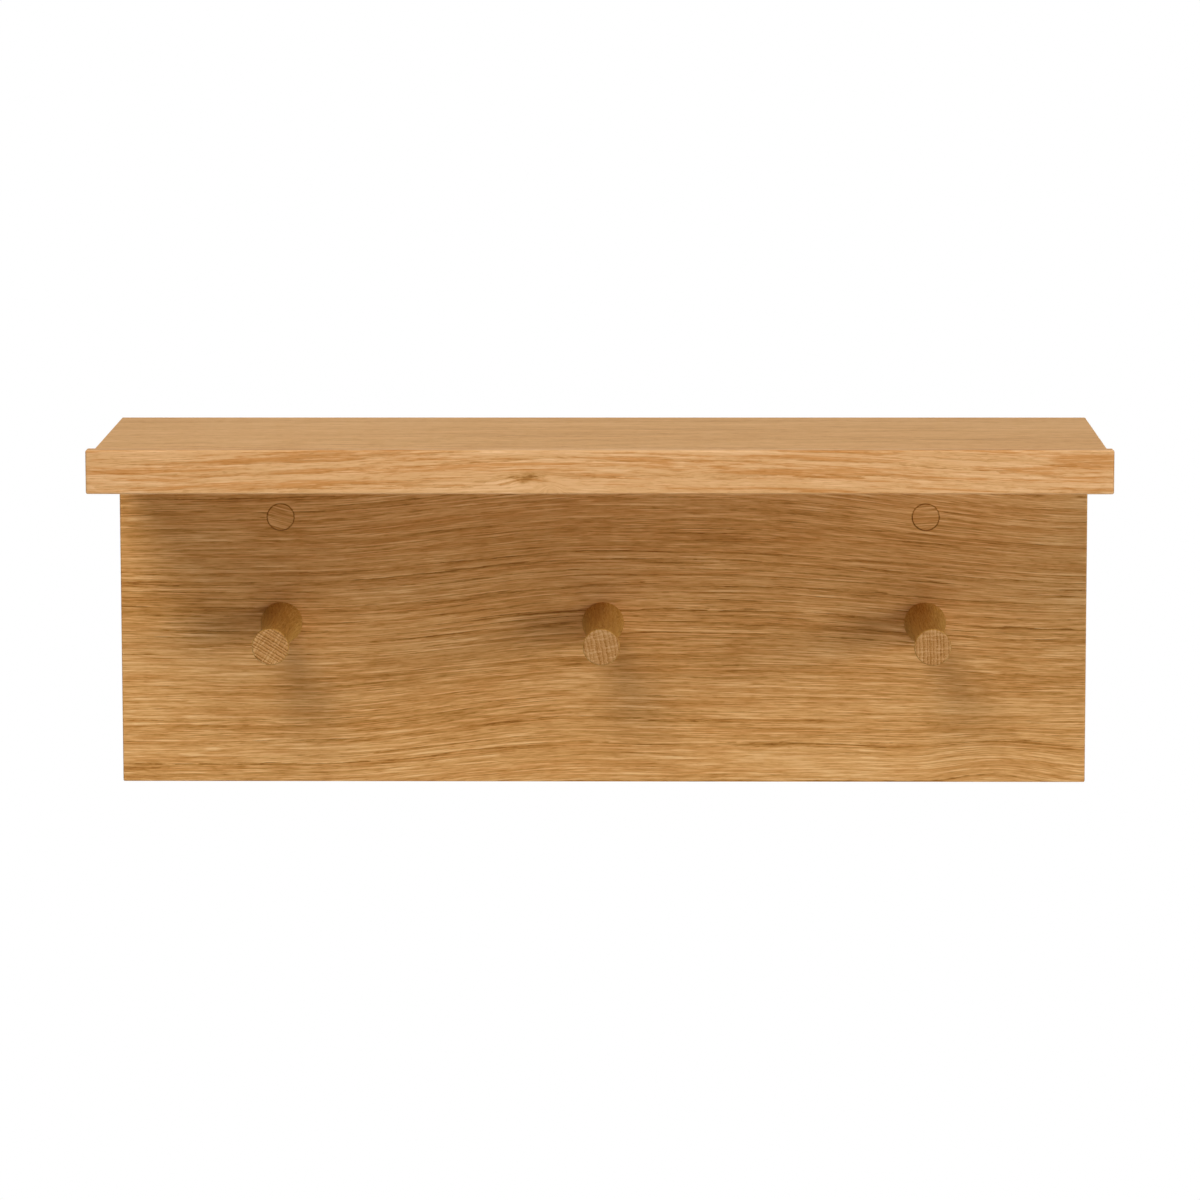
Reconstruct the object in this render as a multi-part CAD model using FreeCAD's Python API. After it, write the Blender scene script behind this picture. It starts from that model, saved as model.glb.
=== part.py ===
import FreeCAD, Part
import os

# A wall coat rack of solid oak. A back panel carries a shelf on its top edge, with a thin raised
# lip along the shelf's front, three turned pegs, and two push-in plugs over the wall screws.
# Millimetres. X runs along the rack, Y from the room to the wall, Z up. The origin lies on the
# wall face of the panel, midway between the two wall-screw holes.

# The rack's boards
rack_width = 600.0
rack_depth = 180.0
panel_height = 206.0
panel_thickness = 18.0
shelf_thickness = 21.0
lip_thickness = 8.0
lip_rise = 5.0
board_arris = 1.0
lip_arris = 1.2
lip_inner_arris = 0.6

# Turned pegs, each with a tenon in a blind socket of the panel
peg_end_distance = 100.0
peg_rise = 100.5
peg_length = 82.0
peg_root_diameter = 26.0
peg_waist_diameter = 19.4
peg_tip_diameter = 22.7
peg_tip_arris = 1.0
tenon_diameter = 15.0
tenon_end_gap = 0.5
socket_web = 7.5
socket_clearance = 0.05

# Countersunk screws that pull the pegs home from behind the panel
screw_length = 40.0
screw_diameter = 4.0
screw_point = 4.0
screw_head_diameter = 8.0
screw_head_rim = 0.4
screw_head_recess = 0.3
screw_clearance = 0.25
screw_seat_clearance = 0.05
pilot_clearance = 0.05
pilot_end_gap = 2.0
recess_span = 4.4
recess_slot = 1.1
recess_depth = 2.2
recess_bottom_span = 1.6

# Wall-screw holes, counterbored from the front, and the plugs that cover them
wall_hole_end_distance = 100.0
wall_hole_drop = 39.0
wall_hole_diameter = 5.5
wall_screw_web = 7.0
plug_diameter = 16.8
plug_thickness = 6.0
plug_face_arris = 0.4
plug_lead = 0.8
plug_clearance = 0.06

# Dowels between the panel's top edge and the shelf
dowel_count = 6
dowel_end_distance = 50.0
dowel_length = 35.0
dowel_in_shelf = 13.0
dowel_diameter = 8.0
dowel_arris = 1.0
dowel_clearance = 0.05
dowel_end_gap = 1.0

# How far a cutting shape runs past the face that it opens, and how near counts as on a face
overrun = 1.0
on_face = 0.001

# Heights and places that follow from the sizes above
half_width = rack_width / 2
panel_top = wall_hole_drop
panel_bottom = panel_top - panel_height
shelf_top = panel_top + shelf_thickness
lip_top = shelf_top + lip_rise
peg_axis = panel_bottom + peg_rise
counterbore_diameter = plug_diameter + 2 * plug_clearance
tenon_start = socket_web + tenon_end_gap
screw_end = screw_head_recess + screw_length

across = FreeCAD.Vector(1, 0, 0)
to_room = FreeCAD.Vector(0, -1, 0)
upward = FreeCAD.Vector(0, 0, 1)

# Each side of a box, as the distance of an edge from it
from_side = {
    "left": lambda edge, box: edge.XMax - box.XMin,
    "right": lambda edge, box: box.XMax - edge.XMin,
    "front": lambda edge, box: edge.YMax - box.YMin,
    "back": lambda edge, box: box.YMax - edge.YMin,
    "bottom": lambda edge, box: edge.ZMax - box.ZMin,
    "top": lambda edge, box: box.ZMax - edge.ZMin,
}


def is_corner(edge, box, sides):
    """True where an edge lies on all the named sides of a box."""
    return all(from_side[side](edge.BoundBox, box) < on_face for side in sides)


def rounded(board, radius, corners):
    """A box-shaped board with the named corners rounded. A corner names the two sides that meet."""
    box = board.BoundBox
    edges = [edge for edge in board.Edges if any(is_corner(edge, box, sides) for sides in corners)]
    return board.makeFillet(radius, edges)


def board_between(low, high):
    """A box from its lowest to its highest corner."""
    return Part.makeBox(high.x - low.x, high.y - low.y, high.z - low.z, low)


def beside_axis(outline, centre, direction):
    """The points of an outline, from (distance along the axis, radius) pairs."""
    return [centre + direction * along + across * radius for along, radius in outline]


def turned(outline, centre, direction):
    """A turned solid. The outline is (distance along the axis, radius) pairs."""
    points = beside_axis(outline, centre, direction)
    face = Part.Face(Part.makePolygon(points + points[:1]))
    return face.revolve(centre, direction, 360)


def bore(diameter, start, end, centre, direction):
    """The round cutting shape of a hole, from start to end along the direction."""
    return Part.makeCylinder(diameter / 2, end - start, centre + direction * start, direction)


def peg_places():
    """The centres of the three pegs on the wall face, by name."""
    spacing = half_width - peg_end_distance
    places = (("left", -spacing), ("centre", 0), ("right", spacing))
    return {name: FreeCAD.Vector(x, 0, peg_axis) for name, x in places}


def plug_places():
    """The centres of the two wall-screw holes on the wall face, by name."""
    distance = half_width - wall_hole_end_distance
    places = (("left", -distance), ("right", distance))
    return {name: FreeCAD.Vector(x, 0, 0) for name, x in places}


def dowel_places():
    """The centres of the dowels on the panel's top edge."""
    spacing = (rack_width - 2 * dowel_end_distance) / (dowel_count - 1)
    first = -half_width + dowel_end_distance
    return [
        FreeCAD.Vector(first + spacing * number, -panel_thickness / 2, panel_top)
        for number in range(dowel_count)
    ]


def dowel_bore(centre):
    """The hole for one dowel, through the joint between panel and shelf."""
    start = dowel_in_shelf - dowel_length - dowel_end_gap
    end = dowel_in_shelf + dowel_end_gap
    return bore(dowel_diameter + 2 * dowel_clearance, start, end, centre, upward)


def wall_screw_bore(centre):
    """A through hole for a wall screw, with the counterbore for its head and the plug."""
    hole = bore(wall_hole_diameter, -overrun, panel_thickness, centre, to_room)
    counterbore = bore(
        counterbore_diameter, wall_screw_web, panel_thickness + overrun, centre, to_room
    )
    return hole.fuse(counterbore)


def peg_bore(centre):
    """The socket for a peg's tenon, with the countersunk screw hole behind it."""
    head = screw_head_diameter / 2 + screw_seat_clearance
    shank = screw_diameter / 2 + screw_seat_clearance
    cone_start = screw_head_recess + screw_head_rim
    countersink = turned(
        [(-overrun, 0), (-overrun, head), (cone_start, head), (cone_start + head - shank, shank),
         (cone_start + head - shank, 0)],
        centre, to_room,
    )
    hole = bore(screw_diameter + 2 * screw_clearance, -overrun, panel_thickness, centre, to_room)
    socket = bore(
        tenon_diameter + 2 * socket_clearance, socket_web, panel_thickness + overrun, centre, to_room
    )
    return countersink.fuse([hole, socket])


def back_panel():
    """The board against the wall, with its holes. Its top edge stays sharp under the shelf."""
    board = board_between(
        FreeCAD.Vector(-half_width, -panel_thickness, panel_bottom),
        FreeCAD.Vector(half_width, 0, panel_top),
    )
    corners = [
        (one, other) for one in ("front", "back") for other in ("bottom", "left", "right")
    ]
    board = rounded(board, board_arris, corners + [("bottom", "left"), ("bottom", "right")])
    holes = [peg_bore(centre) for centre in peg_places().values()]
    holes += [wall_screw_bore(centre) for centre in plug_places().values()]
    holes += [dowel_bore(centre) for centre in dowel_places()]
    return board.cut(holes)


def shelf_board():
    """The shelf on the panel's top edge. Its front edge stays sharp behind the lip."""
    board = board_between(
        FreeCAD.Vector(-half_width, -rack_depth + lip_thickness, panel_top),
        FreeCAD.Vector(half_width, 0, shelf_top),
    )
    corners = [(one, other) for one in ("left", "right") for other in ("top", "bottom", "back")]
    board = rounded(board, board_arris, corners + [("back", "top")])
    return board.cut([dowel_bore(centre) for centre in dowel_places()])


def front_lip():
    """The strip on the shelf's front edge, flush below the shelf and raised above it."""
    strip = board_between(
        FreeCAD.Vector(-half_width, -rack_depth, panel_top),
        FreeCAD.Vector(half_width, -rack_depth + lip_thickness, lip_top),
    )
    corners = [("front", other) for other in ("top", "bottom", "left", "right")]
    corners += [("left", "top"), ("right", "top"), ("left", "bottom"), ("right", "bottom")]
    strip = rounded(strip, lip_arris, corners)
    return rounded(strip, lip_inner_arris, [("back", "top")])


def peg(centre):
    """A turned peg: a tenon, a shoulder on the panel and a body hollowed to a waist midway."""
    end = panel_thickness + peg_length
    tenon = tenon_diameter / 2
    root = (panel_thickness, peg_root_diameter / 2)
    waist = (panel_thickness + peg_length / 2, peg_waist_diameter / 2)
    tip = (end, peg_tip_diameter / 2)
    side = Part.Arc(*beside_axis([root, waist, tip], centre, to_room)).toShape()
    rest = Part.makePolygon(beside_axis(
        [tip, (end, 0), (tenon_start, 0), (tenon_start, tenon), (panel_thickness, tenon), root],
        centre, to_room,
    ))
    solid = Part.Face(Part.Wire([side] + rest.Edges)).revolve(centre, to_room, 360)
    tip_edge = [edge for edge in solid.Edges if edge.BoundBox.YMax < -end + on_face]
    solid = solid.makeFillet(peg_tip_arris, tip_edge)
    pilot = screw_diameter + 2 * pilot_clearance
    return solid.cut(bore(pilot, tenon_start - overrun, screw_end + pilot_end_gap, centre, to_room))


def cross_recess(centre):
    """The cross in a screw head, cut by two slots that narrow towards the bottom."""
    top = screw_head_recess
    taper = turned(
        [(top - overrun, 0), (top - overrun, recess_span / 2), (top, recess_span / 2),
         (top + recess_depth, recess_bottom_span / 2), (top + recess_depth, 0)],
        centre, to_room,
    )
    slots = []
    for width, height in ((recess_span, recess_slot), (recess_slot, recess_span)):
        low = centre + FreeCAD.Vector(-width / 2, -top - recess_depth, -height / 2)
        high = centre + FreeCAD.Vector(width / 2, -top + overrun, height / 2)
        slots.append(board_between(low, high))
    return taper.common(slots[0].fuse(slots[1]))


def peg_screw(centre):
    """A countersunk wood screw, with its thread left plain at its outer diameter."""
    head = screw_head_diameter / 2
    shank = screw_diameter / 2
    cone_start = screw_head_recess + screw_head_rim
    solid = turned(
        [(screw_head_recess, 0), (screw_head_recess, head), (cone_start, head),
         (cone_start + head - shank, shank), (screw_end - screw_point, shank), (screw_end, 0)],
        centre, to_room,
    )
    return solid.cut(cross_recess(centre))


def cover_plug(centre):
    """A plug flush with the panel's face, eased in front and given a lead behind."""
    back = panel_thickness - plug_thickness
    radius = plug_diameter / 2
    return turned(
        [(back, 0), (back, radius - plug_lead), (back + plug_lead, radius),
         (panel_thickness - plug_face_arris, radius), (panel_thickness, radius - plug_face_arris),
         (panel_thickness, 0)],
        centre, to_room,
    )


def shelf_dowel(centre):
    """A dowel with eased ends, partly in the panel and partly in the shelf."""
    low = dowel_in_shelf - dowel_length
    high = dowel_in_shelf
    radius = dowel_diameter / 2
    return turned(
        [(low, 0), (low, radius - dowel_arris), (low + dowel_arris, radius),
         (high - dowel_arris, radius), (high, radius - dowel_arris), (high, 0)],
        centre, upward,
    )


pieces = {
    "back_panel": back_panel(),
    "shelf_board": shelf_board(),
    "front_lip": front_lip(),
    "shelf_dowels": Part.makeCompound([shelf_dowel(centre) for centre in dowel_places()]),
    "peg_screws": Part.makeCompound([peg_screw(centre) for centre in peg_places().values()]),
}
for name, centre in peg_places().items():
    pieces[name + "_peg"] = peg(centre)
for name, centre in plug_places().items():
    pieces[name + "_plug"] = cover_plug(centre)

os.makedirs("parts", exist_ok=True)
for name, shape in pieces.items():
    shape.exportStep("parts/" + name + ".step")
    print(name, len(shape.Solids), "solids", round(shape.Volume), "mm3, valid", shape.isValid())
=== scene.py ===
import math

import bmesh
import bpy
from mathutils import Matrix, Vector


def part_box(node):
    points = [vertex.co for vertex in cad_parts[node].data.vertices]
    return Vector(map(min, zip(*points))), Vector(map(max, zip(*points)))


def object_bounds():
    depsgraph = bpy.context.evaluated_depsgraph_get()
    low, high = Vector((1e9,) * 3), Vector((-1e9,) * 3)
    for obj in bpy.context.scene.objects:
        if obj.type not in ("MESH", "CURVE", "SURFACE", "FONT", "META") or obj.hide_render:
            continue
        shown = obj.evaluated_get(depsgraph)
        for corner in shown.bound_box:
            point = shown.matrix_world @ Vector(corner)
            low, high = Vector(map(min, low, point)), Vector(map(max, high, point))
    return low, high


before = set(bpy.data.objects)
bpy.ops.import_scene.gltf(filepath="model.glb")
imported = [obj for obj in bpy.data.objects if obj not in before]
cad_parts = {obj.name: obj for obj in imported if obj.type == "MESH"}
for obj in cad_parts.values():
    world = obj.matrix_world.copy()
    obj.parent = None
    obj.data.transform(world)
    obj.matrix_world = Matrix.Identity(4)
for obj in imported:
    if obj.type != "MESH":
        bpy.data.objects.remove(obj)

# The coat rack's CAD pieces get their wood and metal here, and a floor, lamps and a camera are set
# around them. No piece is added, moved or changed.
cad_low, cad_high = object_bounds()
scene = bpy.context.scene
scene.view_settings.view_transform = "Standard"

# One millimetre in the scene's metres
MM = 0.001

# The camera, in metres and degrees: a long lens in front of the rack, above its shelf
CAMERA_PLACE = Vector((0.0369, -2.7701, 0.4354))
CAMERA_PITCH_DOWN = 6.22
CAMERA_TURN_LEFT = 0.80
CAMERA_ROLL = -0.105
CAMERA_LENS_MM = 134.67
CAMERA_SENSOR_MM = 36.0
CAMERA_SHIFT_Y = -0.25
CAMERA_SEES_TO = 100.0

# The floor, in metres: the rack hangs with its wall screws at eye height above it
FLOOR_DROP = 1.75
FLOOR_RADIUS = 6.0
FLOOR_FADE_START = 1.0
FLOOR_FADE_END = 3.0
FLOOR_SIDES = 96

# The soft lamps: each one's turn to the right of the rack's front and its height above it in
# degrees, its width and height in metres, and its power in watts
LAMPS = (
    ("top_left", -17.0, 42.0, 1.6, 2.1, 100.0),
    ("side_right", 68.0, 10.0, 1.6, 1.0, 43.0),
    ("key_right", 30.0, 0.0, 1.0, 1.0, 25.0),
    ("overhead", 0.0, 78.0, 1.2, 1.2, 36.0),
    ("behind", 165.0, -8.0, 1.5, 1.5, 50.0),
)
LAMP_DISTANCE = 4.0

# How strongly the white room itself lights the rack
ROOM_LIGHT = 0.06

# Oak from dark pores to pale fibres, and the tint of its redder growth
OAK_TONES = ("#94632c", "#be8a4e", "#d9a66d", "#eabb87", "#f8d3a5")
WARM_TINT = "#e8cfa8"

# The tints that the oil gives the planed faces, the boards' sawn ends and the pegs' turned sides;
# the lip's is also painted light
BOARD_TINT = "#faf2d9"
SHELF_TINT = "#fbf8ea"
# The lip's tint is paler than the panel's: partly the lip's own oak, partly painted light standing
# in for more light on its front
LIP_TINT_AND_PAINTED_LIGHT = "#fdfdff"
BOARD_END_TINT = "#cdc3ac"
PEG_SIDE_TINT = "#d1cb94"

BEECH_TONES = ("#dcbc94", "#c9a47a")
ZINC_TONE = "#c9ccce"
PAINT_TONE = "#f2f1ee"
WHITE = (1, 1, 1, 1)


def srgb(code):
    """A hex colour as linear red, green, blue and an alpha of 1."""
    channels = [int(code[start:start + 2], 16) / 255 for start in (1, 3, 5)]
    linear = [c / 12.92 if c <= 0.04045 else ((c + 0.055) / 1.055) ** 2.4 for c in channels]
    return (*linear, 1.0)


def add(tree, kind, inputs=None, stops=(), **settings):
    """Adds a node to a tree. Inputs are sockets to link or values to set, by name or number, and
    stops are the places and colours of a colour ramp."""
    node = tree.nodes.new(kind)
    for name, value in settings.items():
        setattr(node, name, value)
    for name, value in (inputs or {}).items():
        if isinstance(value, bpy.types.NodeSocket):
            tree.links.new(value, node.inputs[name])
        else:
            node.inputs[name].default_value = value
    for place, _ in stops[2:]:
        node.color_ramp.elements.new(place)
    for number, (place, colour) in enumerate(stops):
        node.color_ramp.elements[number].position = place
        node.color_ramp.elements[number].color = colour
    return node


def new_material(name):
    """An empty node material."""
    material = bpy.data.materials.new(name)
    material.use_nodes = True
    material.node_tree.nodes.clear()
    return material


def finish_material(tree, shader):
    """Links a shader to the material's output."""
    add(tree, "ShaderNodeOutputMaterial", {"Surface": shader})


class Log:
    """Where a piece lay in its log, in millimetres and degrees.

    The log's X axis is the piece's grain. origin is the point that the piece is laid out from, in
    metres, and turn the rotation that lays it in the log. pith is the log's centre, across the
    grain from the origin. ring is a year's growth, wander how far the trunk strays sideways, and
    along the place up the trunk, so that no two pieces share a figure. uneven is how much good
    and poor years differ. lean is the nearest and farthest reach from the pith of a run of lean
    years, whose pores are the most crowded. steps are bends of the grain: where each starts and
    ends along the grain, how far it rises, and the heights between which it grows from nothing to
    the whole. swells are bulges, as above a knot: each one's centre, reach and rise.
    """

    def __init__(self, origin, turn, pith, ring, wander, along, uneven=2.0, lean=None, steps=(),
                 swells=()):
        self.origin = origin
        self.turn = [math.radians(angle) for angle in turn]
        self.pith = pith
        self.ring = ring
        self.wander = wander
        self.along = along
        self.uneven = uneven
        self.lean = lean
        self.steps = steps
        self.swells = swells


class Mark:
    """A dark place on a piece, such as a knot or the painted shade in the gap of a joint, in
    millimetres.

    centre and reach are along and across the grain, from the point that the piece is laid out
    from. The mark is core_depth dark as far out as the core's share of its reach, and rim_depth
    dark beyond its reach. warp makes its outline uneven. skin is where it starts to fade and
    where it has gone, on the axis that runs back into the piece, or None for a mark that goes
    right through.
    """

    def __init__(self, centre, reach, core, core_depth, rim_depth, warp=0.0, skin=None):
        self.centre = centre
        self.reach = reach
        self.core = core
        self.core_depth = core_depth
        self.rim_depth = rim_depth
        self.warp = warp
        self.skin = skin


# How far the streaks in the wood run along and across the grain, in millimetres
TRUNK_DRIFT = (260.0, 70.0)
RING_RIPPLE = (40.0, 3.6)
RING_FRAY = (10.0, 1.0)
PORE_ROW = (45.0, 1.4)
WARM_FLECK = (16.0, 0.6)
WARM_STREAK = (130.0, 3.2)
LONG_FIBRE = (60.0, 0.9)
SHORT_FIBRE = (13.0, 0.7)
PALE_THREAD = (38.0, 0.8)
FEW_YEARS = (90.0, 7.0)
SLOW_BAND = (220.0, 28.0)
MARK_FRAY = (5.0, 2.5)

# A pore's dash, a little wider than a real one of 0.3 mm, so that it shows
PORE = (6.0, 0.7)

# The rays' distance from each other where the piece was sawn and their length, in millimetres,
# and how soft their edge is
RAY_SPACING = 1.6
RAY_LENGTH = 14.0
RAY_EDGE = 0.1

# The noise at which the pores and the pale threads start to show, and at which they are whole
PORE_STARTS = 0.54
PORE_IS_WHOLE = 0.64
THREAD_STARTS = 0.54
THREAD_IS_WHOLE = 0.64

# How squarely a surface has to cut the grain to start to show end grain, and to show only that
END_STARTS = 0.6
END_IS_WHOLE = 0.98

# What noise is on average, and so is the season over a whole year
AVERAGE = 0.5


def middle_of(node):
    """The middle of a CAD node's box, in metres."""
    low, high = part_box(node)
    return (Vector(low) + Vector(high)) / 2


def streaks(tree, place, size, **inputs):
    """Noise that is drawn out along the grain, with the size of its streaks along and across."""
    along, across = size
    drawn = add(tree, "ShaderNodeVectorMath",
                {0: place, 1: (1 / along, 1 / across, 1 / across)}, operation="MULTIPLY")
    settings = {"Vector": drawn.outputs[0], "Scale": 1.0, "Detail": 2.0, "Roughness": 0.5}
    settings.update(inputs)
    return add(tree, "ShaderNodeTexNoise", settings)


def weighed(tree, start, parts):
    """A start value plus each value of the parts times its weight."""
    total = start
    for value, weight in parts:
        total = add(tree, "ShaderNodeMath", {0: value, 1: weight, 2: total},
                    operation="MULTIPLY_ADD").outputs[0]
    return total


def round_patch(tree, place, centre, reach):
    """How far a place lies from a patch's centre, as a share of its reach along and across."""
    near = add(tree, "ShaderNodeVectorMath", {0: place, 1: (centre[0], 0, centre[1])},
               operation="SUBTRACT")
    flat = add(tree, "ShaderNodeVectorMath",
               {0: near.outputs[0], 1: (1 / reach[0], 0, 1 / reach[1])}, operation="MULTIPLY")
    return add(tree, "ShaderNodeVectorMath", {0: flat.outputs[0]},
               operation="LENGTH").outputs["Value"]


def bend_grain(tree, place, log):
    """A place moved across the grain, so that the rings bend and bulge as the log's did."""
    parts = add(tree, "ShaderNodeSeparateXYZ", {0: place})
    height = parts.outputs["Z"]
    for start, end, rise, low, high in log.steps:
        moved = add(tree, "ShaderNodeMapRange",
                    {"Value": parts.outputs["X"], "From Min": start, "From Max": end,
                     "To Max": -rise}, interpolation_type="SMOOTHSTEP")
        share = add(tree, "ShaderNodeMapRange",
                    {"Value": parts.outputs["Z"], "From Min": low, "From Max": high},
                    interpolation_type="SMOOTHSTEP")
        height = weighed(tree, height, [(moved.outputs[0], share.outputs[0])])
    for centre, reach, rise in log.swells:
        moved = add(tree, "ShaderNodeMapRange",
                    {"Value": round_patch(tree, place, centre, reach), "To Min": -rise,
                     "To Max": 0.0}, interpolation_type="SMOOTHSTEP")
        height = weighed(tree, height, [(moved.outputs[0], 1.0)])
    return add(tree, "ShaderNodeCombineXYZ",
               {"X": parts.outputs["X"], "Y": parts.outputs["Y"], "Z": height}).outputs[0]


def lay_in_log(tree, log):
    """Where a point of the piece lies, in millimetres, in three ways: on the piece as it was cut,
    along the bent and wandering grain, and across the grain from the pith."""
    coords = add(tree, "ShaderNodeTexCoord")
    centred = add(tree, "ShaderNodeVectorMath",
                  {0: coords.outputs["Object"], 1: log.origin}, operation="SUBTRACT")
    cut = add(tree, "ShaderNodeMapping",
              {"Vector": centred.outputs[0], "Rotation": log.turn,
               "Scale": (1 / MM, 1 / MM, 1 / MM)}).outputs[0]
    bent = bend_grain(tree, cut, log)
    raised = add(tree, "ShaderNodeVectorMath", {0: bent, 1: (log.along, 0, 0)})
    drift = streaks(tree, raised.outputs[0], TRUNK_DRIFT, Detail=1.0)
    aside = add(tree, "ShaderNodeVectorMath",
                {0: drift.outputs["Color"], 1: (AVERAGE, AVERAGE, AVERAGE)},
                operation="SUBTRACT")
    place = add(tree, "ShaderNodeVectorMath",
                {0: aside.outputs[0], 1: (0, log.wander, log.wander), 2: raised.outputs[0]},
                operation="MULTIPLY_ADD").outputs[0]
    from_pith = add(tree, "ShaderNodeVectorMath", {0: place, 1: (0, *log.pith)},
                    operation="SUBTRACT")
    across = add(tree, "ShaderNodeVectorMath", {0: from_pith.outputs[0], 1: (0, 1, 1)},
                 operation="MULTIPLY")
    return cut, place, across.outputs[0]


# How often good years turn to poor ones or back, in turns for each year's growth
YEARS_TURN = 0.45

# How far a ring ripples and frays, as shares of a year's growth
RIPPLE_REACH = 0.5
FRAY_REACH = 0.2

# How gradually a run of lean years begins and ends, in millimetres
LEAN_FADE = 16.0


def yearly_rings(tree, place, across, log):
    """Where a point lies in its year, from 0 to 1, and how crowded that year's pores are."""
    radius = add(tree, "ShaderNodeVectorMath", {0: across}, operation="LENGTH")
    growth = add(tree, "ShaderNodeTexNoise",
                 {"W": radius.outputs["Value"], "Scale": YEARS_TURN / log.ring, "Detail": 3.0},
                 noise_dimensions="1D")
    ripple = streaks(tree, place, RING_RIPPLE)
    fray = streaks(tree, place, RING_FRAY)
    grown = weighed(tree, radius.outputs["Value"],
                    [(growth.outputs["Fac"], log.uneven * log.ring),
                     (ripple.outputs["Fac"], RIPPLE_REACH * log.ring),
                     (fray.outputs["Fac"], FRAY_REACH * log.ring)])
    years = add(tree, "ShaderNodeMath", {0: grown, 1: log.ring}, operation="DIVIDE")
    season = add(tree, "ShaderNodeMath", {0: years.outputs[0]}, operation="FRACT")
    year = add(tree, "ShaderNodeMath", {0: years.outputs[0]}, operation="FLOOR")
    crowd = add(tree, "ShaderNodeTexWhiteNoise", {"W": year.outputs[0]},
                noise_dimensions="1D").outputs["Value"]
    if log.lean:
        nearest, farthest = log.lean
        begun = add(tree, "ShaderNodeMapRange",
                    {"Value": grown, "From Min": nearest, "From Max": nearest + LEAN_FADE},
                    interpolation_type="SMOOTHSTEP")
        over = add(tree, "ShaderNodeMapRange",
                   {"Value": grown, "From Min": farthest - LEAN_FADE, "From Max": farthest},
                   interpolation_type="SMOOTHSTEP")
        lean = add(tree, "ShaderNodeMath", {0: begun.outputs[0], 1: over.outputs[0]},
                   operation="SUBTRACT")
        crowd = add(tree, "ShaderNodeMath", {0: crowd, 1: lean.outputs[0]},
                    operation="MAXIMUM").outputs[0]
    return season.outputs[0], crowd


# How strong the band of pores and the redder growth are, from a year's start at 0 to its end at 1
PORES_BY_SEASON = ((0.0, 0.5), (0.05, 1.0), (0.18, 0.4), (0.5, 0.0))
WARMTH_BY_SEASON = ((0.0, 0.3), (0.15, 1.0), (0.45, 0.8), (0.85, 0.0))

# How few years have a crowded band: the higher, the fewer
CROWDED_YEARS = 2.0

# The noise at which the band of pores is most broken, and at which it is whole
BAND_BREAKS = 0.36
BAND_IS_WHOLE = 0.6

# What the season adds to the redder growth, the sum at which that growth starts to show, and the
# sum at which it is whole
WARM_SEASON_SHARE = 0.12
WARM_STARTS = 0.98
WARM_IS_WHOLE = 1.27


def spring_wood(tree, season, crowd, place, weakest, gap):
    """The dark band of open pores at a year's start: sudden, soon fading, broken along the grain.
    weakest is a poor year's share of a good year's band, and gap is what is left in a break."""
    band = add(tree, "ShaderNodeValToRGB", {"Fac": season},
               stops=[(spot, (level, level, level, 1)) for spot, level in PORES_BY_SEASON])
    vigour = add(tree, "ShaderNodeMath", {0: crowd, 1: CROWDED_YEARS}, operation="POWER")
    broken = streaks(tree, place, PORE_ROW, Detail=3.0)
    gaps = add(tree, "ShaderNodeMapRange",
               {"Value": broken.outputs["Fac"], "From Min": BAND_BREAKS,
                "From Max": BAND_IS_WHOLE, "To Min": gap}, interpolation_type="SMOOTHSTEP")
    share = weighed(tree, weakest, [(vigour.outputs[0], 1.0 - weakest)])
    line = add(tree, "ShaderNodeMath", {0: band.outputs["Color"], 1: share},
               operation="MULTIPLY")
    line = add(tree, "ShaderNodeMath", {0: line.outputs[0], 1: gaps.outputs[0]},
               operation="MULTIPLY")
    return line.outputs[0]


def warm_wood(tree, season, place):
    """The redder growth: short flecks that gather in long streaks, most in a year's first half."""
    early = add(tree, "ShaderNodeValToRGB", {"Fac": season},
                stops=[(spot, (level, level, level, 1)) for spot, level in WARMTH_BY_SEASON])
    flecks = streaks(tree, place, WARM_FLECK, Detail=3.0, Roughness=0.65)
    gathered = streaks(tree, place, WARM_STREAK, Detail=1.0)
    warm = weighed(tree, 0.0, [(flecks.outputs["Fac"], 1.0), (gathered.outputs["Fac"], 1.0),
                               (early.outputs["Color"], WARM_SEASON_SHARE)])
    shown = add(tree, "ShaderNodeMapRange",
                {"Value": warm, "From Min": WARM_STARTS, "From Max": WARM_IS_WHOLE},
                interpolation_type="SMOOTHSTEP")
    return shown.outputs[0]


def end_grain(tree, log):
    """1 where the surface cuts across the grain, 0 where it runs along it."""
    coords = add(tree, "ShaderNodeTexCoord")
    facing = add(tree, "ShaderNodeMapping",
                 {"Vector": coords.outputs["Normal"], "Rotation": log.turn},
                 vector_type="NORMAL")
    parts = add(tree, "ShaderNodeSeparateXYZ", {0: facing.outputs[0]})
    along = add(tree, "ShaderNodeMath", {0: parts.outputs["X"]}, operation="ABSOLUTE")
    end = add(tree, "ShaderNodeMapRange",
              {"Value": along.outputs[0], "From Min": END_STARTS, "From Max": END_IS_WHOLE},
              interpolation_type="SMOOTHSTEP")
    return end.outputs[0]


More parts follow.
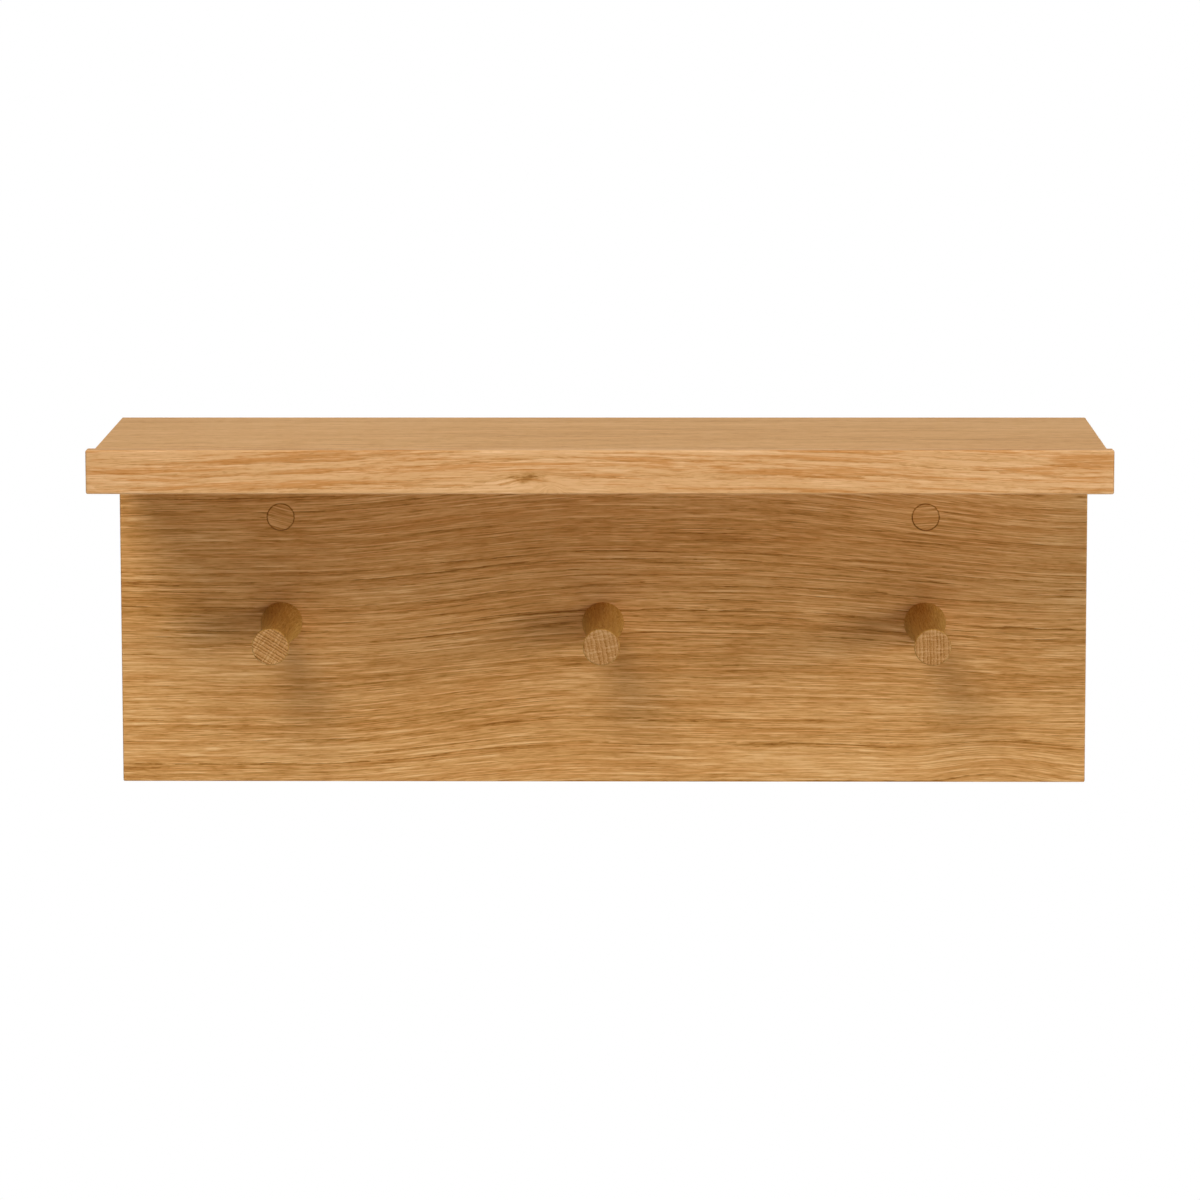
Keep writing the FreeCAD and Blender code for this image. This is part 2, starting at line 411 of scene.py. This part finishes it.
def rays(tree, across, log, scarce):
    """The pale rays that run out from the pith, seen on a cut end as thin straight lines. The
    scarcer they are, the higher the part of the noise that shows."""
    parts = add(tree, "ShaderNodeSeparateXYZ", {0: across})
    angle = add(tree, "ShaderNodeMath", {0: parts.outputs["Z"], 1: parts.outputs["Y"]},
                operation="ARCTAN2")
    radius = add(tree, "ShaderNodeVectorMath", {0: across}, operation="LENGTH")
    around = add(tree, "ShaderNodeMath",
                 {0: angle.outputs[0], 1: math.hypot(*log.pith) / RAY_SPACING},
                 operation="MULTIPLY")
    outward = add(tree, "ShaderNodeMath", {0: radius.outputs["Value"], 1: 1 / RAY_LENGTH},
                  operation="MULTIPLY")
    spot = add(tree, "ShaderNodeCombineXYZ",
               {"X": around.outputs[0], "Y": outward.outputs[0]})
    lines = add(tree, "ShaderNodeTexNoise",
                {"Vector": spot.outputs[0], "Scale": 1.0, "Detail": 1.0},
                noise_dimensions="2D")
    shown = add(tree, "ShaderNodeMapRange",
                {"Value": lines.outputs["Fac"], "From Min": scarce,
                 "From Max": scarce + RAY_EDGE}, interpolation_type="SMOOTHSTEP")
    return shown.outputs[0]


def mark_depth(tree, cut, mark):
    """How dark a mark makes each place of a piece."""
    frayed = streaks(tree, cut, MARK_FRAY, Detail=3.0)
    distance = weighed(tree, round_patch(tree, cut, mark.centre, mark.reach),
                       [(frayed.outputs["Fac"], mark.warp)])
    warped = mark.warp * AVERAGE
    dark = add(tree, "ShaderNodeMapRange",
               {"Value": distance, "From Min": mark.core + warped, "From Max": 1.0 + warped,
                "To Min": mark.core_depth, "To Max": mark.rim_depth},
               interpolation_type="SMOOTHSTEP")
    if mark.skin:
        parts = add(tree, "ShaderNodeSeparateXYZ", {0: cut})
        fades, gone = mark.skin
        shown = add(tree, "ShaderNodeMapRange",
                    {"Value": parts.outputs["Y"], "From Min": fades, "From Max": gone,
                     "To Min": 1.0, "To Max": 0.0}, interpolation_type="SMOOTHSTEP")
        dark = add(tree, "ShaderNodeMath", {0: dark.outputs[0], 1: shown.outputs[0]},
                   operation="MULTIPLY")
    return dark.outputs[0]


# What the long and short fibres, a few years together and the pale threads add to the tone, as
# shares of the fibres' strength, and the usual sum of the four
LONG_SHARE = 0.6
SHORT_SHARE = 1.1
YEARS_SHARE = 0.3
THREAD_SHARE = 0.4
USUAL_SUM = 1.09

# How strong the lone pores between the bands of spring wood are
LONE_PORES = 0.35


def fibres(tree, place, fibre, band):
    """Fibres in long and short streaks, over slow bands of colour from years of unequal growth,
    each with its weight in the tone."""
    long_fibre = streaks(tree, place, LONG_FIBRE, Detail=3.0, Roughness=0.6)
    short_fibre = streaks(tree, place, SHORT_FIBRE, Roughness=0.6)
    few_years = streaks(tree, place, FEW_YEARS, Detail=1.0)
    pale = streaks(tree, place, PALE_THREAD, Detail=1.0)
    threads = add(tree, "ShaderNodeMapRange",
                  {"Value": pale.outputs["Fac"], "From Min": THREAD_STARTS,
                   "From Max": THREAD_IS_WHOLE}, interpolation_type="SMOOTHSTEP")
    slow_band = streaks(tree, place, SLOW_BAND, Detail=3.0)
    return [(long_fibre.outputs["Fac"], fibre * LONG_SHARE),
            (short_fibre.outputs["Fac"], fibre * SHORT_SHARE),
            (few_years.outputs["Fac"], fibre * YEARS_SHARE),
            (threads.outputs[0], fibre * THREAD_SHARE),
            (slow_band.outputs["Fac"], band)]


def open_pores(tree, place, spring):
    """The pores that the plane cut open, crowded in the spring wood."""
    dashes = streaks(tree, place, PORE, Detail=1.0)
    hollow = add(tree, "ShaderNodeMapRange",
                 {"Value": dashes.outputs["Fac"], "From Min": PORE_STARTS,
                  "From Max": PORE_IS_WHOLE}, interpolation_type="SMOOTHSTEP")
    crowded = weighed(tree, LONE_PORES, [(spring, 1.0 - LONE_PORES)])
    pores = add(tree, "ShaderNodeMath", {0: hollow.outputs[0], 1: crowded},
                operation="MULTIPLY")
    return pores.outputs[0]


# The oak's usual tone, from dark at 0 to pale at 1, how much a year pales towards its end, how
# much darker a pore is, and how much paler a ray
USUAL_TONE = 0.54
YEAR_PALES = 0.1
PORE_DARKENS = 0.3
RAY_PALES = 0.3

# How deep the pores and the spring wood lie below the fibres, in millimetres
PORE_HOLLOW = 0.05
SPRING_HOLLOW = 0.06

# The oil's gloss on the wood: dull fibres, duller pores
OAK_IOR = 1.45
OAK_SPECULAR = 0.15
FIBRE_ROUGHNESS = 0.58
PORE_ROUGHNESS = 0.75


def oak(name, log, face_tint=BOARD_TINT, end_tint=BOARD_END_TINT, line=0.38, end_line=0.45,
        fibre=0.85, band=0.6, warmth=0.4, weakest=0.2, gap=0.1, rise=0.0, scarce=0.6, marks=()):
    """Oiled white oak, planed, turned or sanded. Each year starts with a band of open pores,
    which show as dark dashes along the grain and as dots across it. Smooth pale fibres lie
    between, so the eye gets fine broken streaks on the faces and arcs with crossing rays on the
    ends, in a dull satin.

    line and end_line are how dark the pores' bands are along and across the grain, and fibre,
    band and warmth how strong the fibres, the slow bands of colour and the redder growth are.
    rise is how much more a year pales towards its end on a cut end. weakest and gap are as in
    spring_wood, and scarce is as in rays.
    """
    material = new_material(name)
    tree = material.node_tree
    cut, place, across = lay_in_log(tree, log)
    season, crowd = yearly_rings(tree, place, across, log)
    spring = spring_wood(tree, season, crowd, place, weakest, gap)
    pores = open_pores(tree, place, spring)
    end = end_grain(tree, log)
    end_rays = add(tree, "ShaderNodeMath", {0: rays(tree, across, log, scarce), 1: end},
                   operation="MULTIPLY")

    # The tone, from dark at 0 to pale at 1
    start = weighed(tree, USUAL_TONE - fibre * USUAL_SUM - band * AVERAGE,
                    [(end, -rise * AVERAGE)])
    season_rise = weighed(tree, YEAR_PALES, [(end, rise)])
    spring_depth = weighed(tree, -line, [(end, line - end_line)])
    parts = fibres(tree, place, fibre, band)
    parts += [(season, season_rise), (spring, spring_depth), (pores, -PORE_DARKENS),
              (end_rays.outputs[0], RAY_PALES)]
    parts += [(mark_depth(tree, cut, mark), -1.0) for mark in marks]
    tone = weighed(tree, start, parts)

    # The colour: the tone's own, with the redder growth, and all of it under the oil
    last = len(OAK_TONES) - 1
    face = add(tree, "ShaderNodeValToRGB", {"Fac": tone},
               stops=[(number / last, srgb(code)) for number, code in enumerate(OAK_TONES)])
    warm = add(tree, "ShaderNodeMath", {0: warm_wood(tree, season, place), 1: warmth},
               operation="MULTIPLY")
    face = add(tree, "ShaderNodeMix",
               {"Factor": warm.outputs[0], "A": face.outputs["Color"], "B": srgb(WARM_TINT)},
               data_type="RGBA", blend_type="MULTIPLY")
    oil = add(tree, "ShaderNodeMix",
              {"Factor": end, "A": srgb(face_tint), "B": srgb(end_tint)}, data_type="RGBA")
    colour = add(tree, "ShaderNodeMix",
                 {"Factor": 1.0, "A": face.outputs["Result"], "B": oil.outputs["Result"]},
                 data_type="RGBA", blend_type="MULTIPLY")

    height = weighed(tree, 0.0, [(pores, -PORE_HOLLOW * MM),
                                 (spring, -SPRING_HOLLOW * line * MM)])
    relief = add(tree, "ShaderNodeBump",
                 {"Strength": 1.0, "Distance": 1.0, "Height": height})
    dull = add(tree, "ShaderNodeMapRange",
               {"Value": pores, "To Min": FIBRE_ROUGHNESS, "To Max": PORE_ROUGHNESS})
    shader = add(tree, "ShaderNodeBsdfPrincipled",
                 {"Base Color": colour.outputs["Result"], "Roughness": dull.outputs[0],
                  "IOR": OAK_IOR, "Specular IOR Level": OAK_SPECULAR,
                  "Normal": relief.outputs[0]})
    finish_material(tree, shader.outputs[0])
    return material


# How many flecks of the beech and spots of the zinc lie in a millimetre
BEECH_FLECKS = 0.9
ZINC_SPOTS = 1.2


def beech(name):
    """Bare turned beech: pale, even and dull, with fine short flecks."""
    material = new_material(name)
    tree = material.node_tree
    coords = add(tree, "ShaderNodeTexCoord")
    flecks = add(tree, "ShaderNodeTexNoise",
                 {"Vector": coords.outputs["Object"], "Scale": BEECH_FLECKS / MM,
                  "Detail": 3.0})
    pale, dark = BEECH_TONES
    tone = add(tree, "ShaderNodeMix",
               {"Factor": flecks.outputs["Fac"], "A": srgb(pale), "B": srgb(dark)},
               data_type="RGBA")
    shader = add(tree, "ShaderNodeBsdfPrincipled",
                 {"Base Color": tone.outputs["Result"], "Roughness": 0.6})
    finish_material(tree, shader.outputs[0])
    return material


def zinc(name):
    """Bright zinc plating on steel: a cool grey metal with a soft, slightly mottled gloss."""
    material = new_material(name)
    tree = material.node_tree
    coords = add(tree, "ShaderNodeTexCoord")
    mottle = add(tree, "ShaderNodeTexNoise",
                 {"Vector": coords.outputs["Object"], "Scale": ZINC_SPOTS / MM,
                  "Detail": 2.0})
    rough = add(tree, "ShaderNodeMapRange",
                {"Value": mottle.outputs["Fac"], "To Min": 0.22, "To Max": 0.42})
    shader = add(tree, "ShaderNodeBsdfPrincipled",
                 {"Base Color": srgb(ZINC_TONE), "Metallic": 1.0,
                  "Roughness": rough.outputs[0]})
    finish_material(tree, shader.outputs[0])
    return material


def dress(node, material):
    """Gives a CAD node its finish."""
    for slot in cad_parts[node].material_slots:
        slot.material = material


# The panel is laid out from the wall face, midway between its plugs, in millimetres
WALL_FACE = Vector((0, 0, 0))
PANEL_FRONT = -18.0
PLUG_ACROSS = 200.0

# A plug is laid out from its own middle, in millimetres
PLUG_FRONT = -3.0

# The painted shade of the thin gap around a plug: from its middle out to where the shade starts,
# the plug's rim and where the shade ends, in millimetres, and how dark it is
GAP_SHADE_START = 7.7
JOINT_RIM = 8.4
GAP_SHADE_END = 9.1
GAP_SHADE_DEPTH = 0.5

# The heights of a bend of the grain that is whole all over a piece, in millimetres
EVERYWHERE = (-500.0, -300.0)

panel_log = Log(
    WALL_FACE, turn=(0, 0, 0), pith=(-200.0, 300.0), ring=4.6, wander=9.0, along=0.0,
    lean=(376.0, 448.0),
    steps=((-185.0, 0.0, 13.0, *EVERYWHERE), (70.0, 320.0, -22.0, -160.0, 20.0)),
    swells=(((245.0, -158.0), (60.0, 34.0), 6.0),),
)
# Painted shade of the gap around each plug, on the rim of its hole and a little way into it
hole_gap_shades = [
    Mark((x, 0.0), (GAP_SHADE_END, GAP_SHADE_END), core=JOINT_RIM / GAP_SHADE_END, core_depth=GAP_SHADE_DEPTH,
         rim_depth=0.0, skin=(PANEL_FRONT + 1.0, PANEL_FRONT + 3.0))
    for x in (-PLUG_ACROSS, PLUG_ACROSS)
]
dress("back_panel", oak("oak_panel_planed_oiled", panel_log, marks=hole_gap_shades))

shelf_log = Log(middle_of("shelf_board"), turn=(0, 0, 0), pith=(-20.0, -900.0), ring=3.0,
                wander=3.0, along=900.0)
dress("shelf_board", oak("oak_shelf_planed_oiled", shelf_log, face_tint=SHELF_TINT, line=0.15,
                         fibre=0.5, band=0.3, warmth=0.2))

# The lip's knot and the grain that swells over and under it
KNOT_CENTRE = (-42.3, -3.8)
lip_log = Log(
    middle_of("front_lip"), turn=(0, 0, 0), pith=(60.0, -30.0), ring=3.4, wander=10.0,
    along=1900.0,
    steps=((-300.0, -90.0, 8.0, *EVERYWHERE), (-20.0, 300.0, -8.0, *EVERYWHERE)),
    swells=((KNOT_CENTRE, (24.0, 7.0), 3.0), ((-28.0, -9.5), (10.0, 5.0), 4.0)),
)
knot = Mark(KNOT_CENTRE, (15.0, 5.0), core=0.0, core_depth=0.5, rim_depth=0.0, warp=1.2)
# The lip's paler tint is partly painted light, for more light falling on its front
dress("front_lip", oak("oak_lip_planed_oiled", lip_log, face_tint=LIP_TINT_AND_PAINTED_LIGHT, line=0.4,
                       fibre=0.35, band=0.25, warmth=0.9, marks=(knot,)))

# The pegs: how far each one's rings are turned, in degrees, a ring's width, in millimetres, how
# strongly the rings show on the peg's end, and the tint that the oil gives that end
PEGS = (
    ("left", 58.0, 2.0, 0.7, "#d7caae"),
    ("centre", 11.0, 2.7, 0.15, "#cdc0a7"),
    ("right", 2.0, 2.1, 0.25, "#d2c5ab"),
)
for number, (name, ring_turn, ring, end_line, end_tint) in enumerate(PEGS):
    node = name + "_peg"
    peg_log = Log(middle_of(node), turn=(0, ring_turn, 90.0), pith=(-300.0, 0.0), ring=ring,
                  wander=1.0, along=300.0 * number, uneven=1.3)
    dress(node, oak("oak_peg_turned_oiled_" + name, peg_log, face_tint=PEG_SIDE_TINT,
                    end_tint=end_tint, line=0.08, end_line=end_line, fibre=0.6, band=0.3,
                    warmth=0.2, weakest=0.7, gap=0.6, rise=0.3, scarce=0.52))

# Each plug's grain lies at a slight turn to the panel's, in degrees
PLUGS = (("left", -15.0), ("right", 4.0))
# Painted shade of the gap on each plug's rim, near its front
plug_gap_shade = Mark((0.0, 0.0), (JOINT_RIM, JOINT_RIM), core=GAP_SHADE_START / JOINT_RIM,
                  core_depth=0.0, rim_depth=GAP_SHADE_DEPTH,
                  skin=(PLUG_FRONT + 0.4, PLUG_FRONT + 1.4))
for number, (name, grain_turn) in enumerate(PLUGS):
    node = name + "_plug"
    plug_log = Log(middle_of(node), turn=(0, grain_turn, 0), pith=(-200.0, 300.0), ring=3.0,
                   wander=1.0, along=3000.0 + 150.0 * number)
    dress(node, oak("oak_plug_sanded_oiled_" + name, plug_log, marks=(plug_gap_shade,)))

dress("shelf_dowels", beech("beech_dowel_bare"))
dress("peg_screws", zinc("steel_screw_zinc_plated"))


def seen_directly(tree):
    """1 for rays from the camera, from gloss and through glass, and 0 for the light itself."""
    path = add(tree, "ShaderNodeLightPath")
    seen = add(tree, "ShaderNodeMath",
               {0: path.outputs["Is Camera Ray"], 1: path.outputs["Is Glossy Ray"]},
               operation="ADD")
    seen = add(tree, "ShaderNodeMath",
               {0: seen.outputs[0], 1: path.outputs["Is Transmission Ray"]},
               operation="ADD", use_clamp=True)
    return seen.outputs[0]


def floor_paint(name):
    """Matt white paint that takes the rack's shadow and ends in the white of the room."""
    material = new_material(name)
    tree = material.node_tree
    coords = add(tree, "ShaderNodeTexCoord")
    flat = add(tree, "ShaderNodeVectorMath",
               {0: coords.outputs["Object"], 1: (1, 1, 0)}, operation="MULTIPLY")
    away = add(tree, "ShaderNodeVectorMath", {0: flat.outputs[0]}, operation="LENGTH")
    fade = add(tree, "ShaderNodeMapRange",
               {"Value": away.outputs["Value"], "From Min": FLOOR_FADE_START,
                "From Max": FLOOR_FADE_END}, interpolation_type="SMOOTHSTEP")
    bare = add(tree, "ShaderNodeMath", {0: fade.outputs[0], 1: seen_directly(tree)},
               operation="MULTIPLY")
    paint = add(tree, "ShaderNodeBsdfPrincipled",
                {"Base Color": srgb(PAINT_TONE), "Roughness": 0.8})
    glow = add(tree, "ShaderNodeEmission", {"Color": WHITE, "Strength": 1.0})
    shader = add(tree, "ShaderNodeMixShader",
                 {0: bare.outputs[0], 1: paint.outputs[0], 2: glow.outputs[0]})
    finish_material(tree, shader.outputs[0])
    return material


def make_floor():
    """A pale round floor far below the rack, which fades into the white around it."""
    mesh = bpy.data.meshes.new("floor")
    shape = bmesh.new()
    bmesh.ops.create_circle(shape, cap_ends=True, segments=FLOOR_SIDES, radius=FLOOR_RADIUS,
                            matrix=Matrix.Translation((0, 0, -FLOOR_DROP)))
    shape.to_mesh(mesh)
    shape.free()
    floor = bpy.data.objects.new("floor", mesh)
    scene.collection.objects.link(floor)
    mesh.materials.append(floor_paint("floor_white_matt_paint"))


def make_room():
    """A white room, which lights the rack a little and is seen as plain white."""
    world = bpy.data.worlds.new("white_room")
    scene.world = world
    world.use_nodes = True
    tree = world.node_tree
    tree.nodes.clear()
    light = add(tree, "ShaderNodeBackground", {"Color": WHITE, "Strength": ROOM_LIGHT})
    sight = add(tree, "ShaderNodeBackground", {"Color": WHITE, "Strength": 1.0})
    room = add(tree, "ShaderNodeMixShader",
               {0: seen_directly(tree), 1: light.outputs[0], 2: sight.outputs[0]})
    add(tree, "ShaderNodeOutputWorld", {"Surface": room.outputs[0]})


def make_lamp(name, turn, height, width, tall, power, target):
    """A soft white area lamp that looks at a point of the rack, and isn't seen itself."""
    data = bpy.data.lights.new(name, "AREA")
    data.shape = "RECTANGLE"
    data.size = width
    data.size_y = tall
    data.energy = power
    lamp = bpy.data.objects.new(name, data)
    scene.collection.objects.link(lamp)
    turn = math.radians(turn)
    height = math.radians(height)
    away = Vector((math.sin(turn) * math.cos(height), -math.cos(turn) * math.cos(height),
                   math.sin(height)))
    lamp.location = target + away * LAMP_DISTANCE
    lamp.rotation_mode = "QUATERNION"
    lamp.rotation_quaternion = away.to_track_quat("Z", "Y")
    lamp.visible_camera = False


def make_camera():
    """The camera in front of the rack, at the photograph's viewing angle."""
    data = bpy.data.cameras.new("camera")
    data.lens = CAMERA_LENS_MM
    data.sensor_width = CAMERA_SENSOR_MM
    data.shift_y = CAMERA_SHIFT_Y
    data.clip_end = CAMERA_SEES_TO
    camera = bpy.data.objects.new("camera", data)
    scene.collection.objects.link(camera)
    turn = Matrix.Rotation(math.radians(CAMERA_TURN_LEFT), 4, "Z")
    pitch = Matrix.Rotation(math.radians(90 - CAMERA_PITCH_DOWN), 4, "X")
    roll = Matrix.Rotation(math.radians(CAMERA_ROLL), 4, "Z")
    camera.matrix_world = Matrix.Translation(CAMERA_PLACE) @ turn @ pitch @ roll
    scene.camera = camera


make_floor()
make_room()
rack_middle = (cad_low + cad_high) / 2
for lamp_values in LAMPS:
    make_lamp(*lamp_values, rack_middle)
make_camera()
